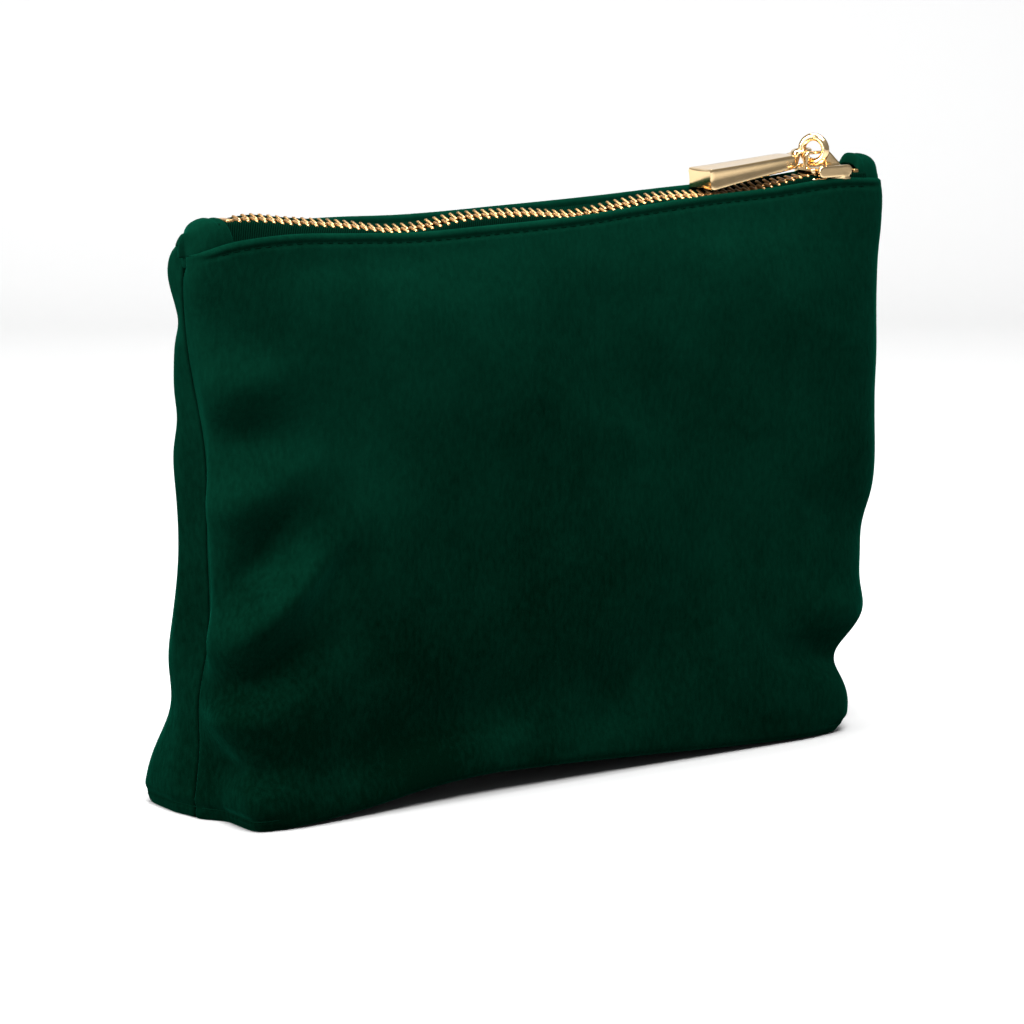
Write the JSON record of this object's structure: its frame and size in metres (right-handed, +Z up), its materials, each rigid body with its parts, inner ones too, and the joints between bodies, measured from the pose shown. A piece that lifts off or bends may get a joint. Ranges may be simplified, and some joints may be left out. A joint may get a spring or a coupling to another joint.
{
  "type": "zip makeup bag",
  "caption": "Dark green velvet makeup pouch with a boxed base, a gold metal zip along the top and a wedge-shaped pull on a ring.",
  "frame": {"origin": "middle of the boxed base, on the surface that the bag stands on", "axes": "+X along the width towards the end where the closed zip's slider sits, +Y from the front panel to the back panel, +Z up"},
  "size_m": [0.2119, 0.0501, 0.1618],
  "materials": {
    "velvet": "short-pile velvet with a soft sheen",
    "interlining": "fusible fleece",
    "lining": "plain satin weave",
    "zip_tape": "twill tape",
    "thread": "spun polyester sewing thread",
    "zip_teeth": "polished, pale gold plate",
    "gold_hardware": "bright pale gold plate"
  },
  "bodies": {
    "bag": {"front_panel": "velvet", "front_interlining": "interlining", "front_lining": "lining", "front_top_stitch": "thread", "back_panel": "velvet", "back_interlining": "interlining", "back_lining": "lining", "back_top_stitch": "thread", "bottom_stop": "zip_teeth", "left_tab": "velvet", "right_tab": "velvet", "left_side_thread": "thread", "right_side_thread": "thread", "left_corner_thread": "thread", "right_corner_thread": "thread", "base_thread": "thread"},
    "front_zip_edge": {"front_zip_tape": "zip_tape", "front_tooth_row": "zip_teeth", "front_top_stop": "zip_teeth"},
    "back_zip_edge": {"back_zip_tape": "zip_tape", "back_tooth_row": "zip_teeth", "back_top_stop": "zip_teeth"},
    "slider": {"slider_body": "gold_hardware"},
    "ring": {"pull_ring": "gold_hardware"},
    "pull": {"pull_bar": "gold_hardware"}
  },
  "joints": [
    {"name": "slider_travel", "type": "slide", "parent": "bag", "child": "slider", "axis": [-1, 0, 0], "range_m": [0, 0.1743], "deforming": ["front_zip_tape", "front_tooth_row", "back_zip_tape", "back_tooth_row"]},
    {"name": "front_zip_fold", "type": "hinge", "parent": "bag", "child": "front_zip_edge", "pos_m": [0, -0.0226, 0.15], "axis": [1, 0, 0], "range_deg": [0, 75]},
    {"name": "back_zip_fold", "type": "hinge", "parent": "bag", "child": "back_zip_edge", "pos_m": [0, -0.0094, 0.15], "axis": [-1, 0, 0], "range_deg": [0, 75]},
    {"name": "ring_swing", "type": "hinge", "parent": "slider", "child": "ring", "pos_m": [0.0853, -0.016, 0.15335], "axis": [-0.243, 0.9059, -0.3469], "range_deg": [0, 50]},
    {"name": "pull_swing", "type": "hinge", "parent": "ring", "child": "pull", "pos_m": [0.08334, -0.0126, 0.15602], "axis": [-0.0985, 0.9951, 0], "range_deg": [0, 22]}
  ],
  "couplings": [
    {"joint": "front_zip_fold", "follows": "slider_travel", "rad_per_m": 7.51},
    {"joint": "back_zip_fold", "follows": "slider_travel", "rad_per_m": 7.51}
  ]
}
